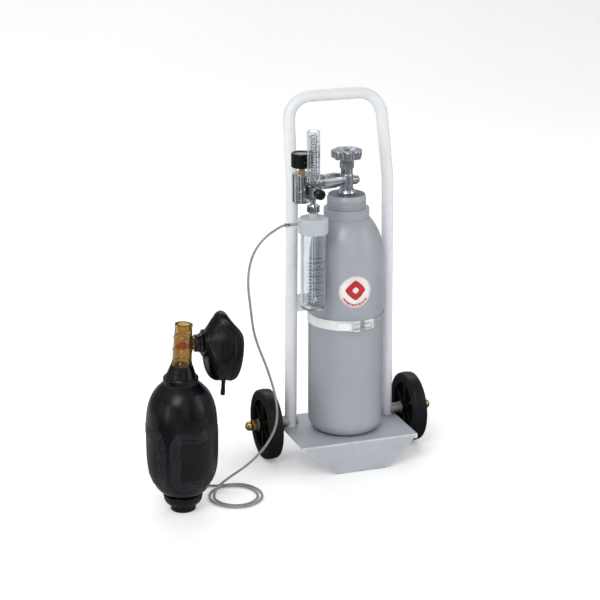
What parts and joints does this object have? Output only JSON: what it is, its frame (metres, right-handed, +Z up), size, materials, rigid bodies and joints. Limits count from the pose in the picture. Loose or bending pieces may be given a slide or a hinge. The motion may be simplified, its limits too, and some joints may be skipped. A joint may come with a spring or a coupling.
{
  "type": "trolley-mounted oxygen cylinder set",
  "caption": "Oxygen cylinder on a wheeled trolley with valve, regulator, flowmeter, humidifier, and a hose to a resuscitation bag with face mask.",
  "frame": {"origin": "centre of the trolley foot's flat face, on the floor", "axes": "+Z up, along the cylinder; +Y from the foot to the wheels; +X to the right, along the wheel axle; the bag stands on the -X side"},
  "size_m": [0.6135, 0.3094, 0.695],
  "materials": {
    "frame_paint": "semi-gloss white enamel",
    "plate_paint": "satin blue-grey enamel",
    "cylinder_paint": "satin light grey enamel",
    "band_paint": "semi-gloss white enamel",
    "zinc_steel": "zinc plated, satin",
    "bright_wire": "polished",
    "brass": "polished",
    "wheel_plastic": "moulded, matte",
    "tyre_rubber": "matte",
    "label_film": "gloss",
    "valve_metal": "cast and turned, satin nickel plate",
    "handwheel_metal": "cast, satin",
    "chrome": "polished",
    "seal_rubber": "matte",
    "spring_steel": "bright wire",
    "black_rubber": "satin",
    "dial_white": "matte print",
    "pointer_black": "matte",
    "clear_plastic": "clear, gloss",
    "float_steel": "polished",
    "knob_black": "gloss",
    "lid_plastic": "frosted translucent white",
    "hose_plastic": "translucent grey",
    "amber_plastic": "clear amber, gloss",
    "red_silicone": "satin"
  },
  "bodies": {
    "root": {"frame_tube": "frame_paint", "base_plate": "plate_paint", "rear_cradle": "band_paint", "stub_axles": "zinc_steel", "axle_spacers": "zinc_steel", "washers": "zinc_steel", "cap_nuts": "brass", "clamp_band": "band_paint", "latch_base": "band_paint", "cylinder_shell": "cylinder_paint", "neck_ring": "cylinder_paint", "cylinder_label": "label_film", "valve_body": "valve_metal", "safety_plug": "valve_metal", "valve_gland": "valve_metal", "inlet_nut": "chrome", "inlet_stem": "chrome", "inlet_seal": "seal_rubber", "regulator_body": "chrome", "regulator_cap": "chrome", "regulator_spring": "spring_steel", "gauge_stem": "brass", "gauge_case": "chrome", "gauge_boot": "black_rubber", "gauge_dial": "dial_white", "gauge_tube": "brass", "gauge_window": "clear_plastic", "flow_block": "chrome", "meter_tube": "clear_plastic", "outer_tube": "clear_plastic", "outlet_stem": "chrome", "star_nut": "chrome", "humidifier_lid": "lid_plastic", "jar_seal": "seal_rubber", "dip_tube": "clear_plastic", "oxygen_hose": "hose_plastic", "hose_cuffs": "clear_plastic"},
    "left_wheel": {"wheel_hub_left": "wheel_plastic", "tyre_left": "tyre_rubber"},
    "right_wheel": {"wheel_hub_right": "wheel_plastic", "tyre_right": "tyre_rubber"},
    "latch_lever": {"latch_lever": "band_paint"},
    "wire_bail": {"wire_bail": "bright_wire"},
    "handwheel": {"handwheel": "handwheel_metal", "valve_spindle": "spring_steel"},
    "valve_plug": {"valve_plug": "brass"},
    "piston": {"regulator_piston": "brass"},
    "pointer": {"gauge_pointer": "pointer_black"},
    "flow_knob": {"flow_knob": "knob_black"},
    "flow_needle": {"flow_needle": "brass"},
    "float_ball": {"float_ball": "float_steel"},
    "jar": {"humidifier_jar": "clear_plastic"},
    "bag": {"resuscitator_bag": "black_rubber", "inlet_housing": "black_rubber", "bag_neck_ring": "black_rubber"},
    "patient_valve": {"patient_valve": "amber_plastic", "duckbill": "red_silicone"},
    "mask": {"mask_swivel": "knob_black", "mask_dome": "black_rubber", "mask_cushion": "black_rubber"}
  },
  "joints": [
    {"name": "left_wheel_spin", "type": "hinge", "parent": "root", "child": "left_wheel", "pos_m": [-0.145, 0.1221, 0.0672], "axis": [-1, 0, 0], "continuous": true},
    {"name": "right_wheel_spin", "type": "hinge", "parent": "root", "child": "right_wheel", "pos_m": [0.145, 0.1221, 0.0672], "axis": [-1, 0, 0], "continuous": true},
    {"name": "latch_lever_turn", "type": "hinge", "parent": "root", "child": "latch_lever", "pos_m": [-0.00687, 0.0101, 0.28], "axis": [0, 0, 1], "range_deg": [0, 150]},
    {"name": "bail_swing", "type": "hinge", "parent": "latch_lever", "child": "wire_bail", "pos_m": [-0.01271, 0.01266, 0.28], "axis": [0, 0, 1], "range_deg": [-162, 5]},
    {"name": "valve_turn", "type": "hinge", "parent": "root", "child": "handwheel", "pos_m": [0, 0.0886, 0.588], "axis": [0, 0, 1], "range_deg": [0, 720]},
    {"name": "plug_lift", "type": "slide", "parent": "root", "child": "valve_plug", "axis": [0, 0, 1], "range_m": [0, 0.0031]},
    {"name": "piston_travel", "type": "slide", "parent": "root", "child": "piston", "axis": [0, 0, -1], "range_m": [0, 0.0015], "deforming": ["regulator_spring"]},
    {"name": "pointer_turn", "type": "hinge", "parent": "root", "child": "pointer", "pos_m": [-0.09257, 0.07228, 0.589], "axis": [0, 0, -1], "range_deg": [0, 270]},
    {"name": "flow_knob_turn", "type": "hinge", "parent": "flow_needle", "child": "flow_knob", "pos_m": [-0.08181, 0.01122, 0.537], "axis": [0.1736, -0.9848, 0], "range_deg": [0, 900]},
    {"name": "needle_travel", "type": "slide", "parent": "root", "child": "flow_needle", "axis": [0.1736, -0.9848, 0], "range_m": [0, 0.0021]},
    {"name": "float_rise", "type": "slide", "parent": "root", "child": "float_ball", "axis": [0, 0, 1], "range_m": [0, 0.07]},
    {"name": "jar_removal", "type": "slide", "parent": "root", "child": "jar", "axis": [0, 0, -1], "range_m": [0, 0.15]},
    {"name": "bag_unplug", "type": "slide", "parent": "root", "child": "bag", "axis": [-0.5, -0.866, 0], "range_m": [0, 0.25]},
    {"name": "patient_valve_swivel", "type": "hinge", "parent": "bag", "child": "patient_valve", "pos_m": [-0.35963, -0.057, 0.27192], "axis": [0.0698, 0, 0.9976], "continuous": true},
    {"name": "mask_swivel_turn", "type": "hinge", "parent": "patient_valve", "child": "mask", "pos_m": [-0.33204, -0.057, 0.30808], "axis": [0.9976, 0, -0.0698], "continuous": true}
  ],
  "couplings": [
    {"joint": "bail_swing", "follows": "latch_lever_turn", "ratio": -1.065},
    {"joint": "plug_lift", "follows": "valve_turn", "m_per_rad": 0.00023873},
    {"joint": "needle_travel", "follows": "flow_knob_turn", "m_per_rad": 0.00012732}
  ]
}
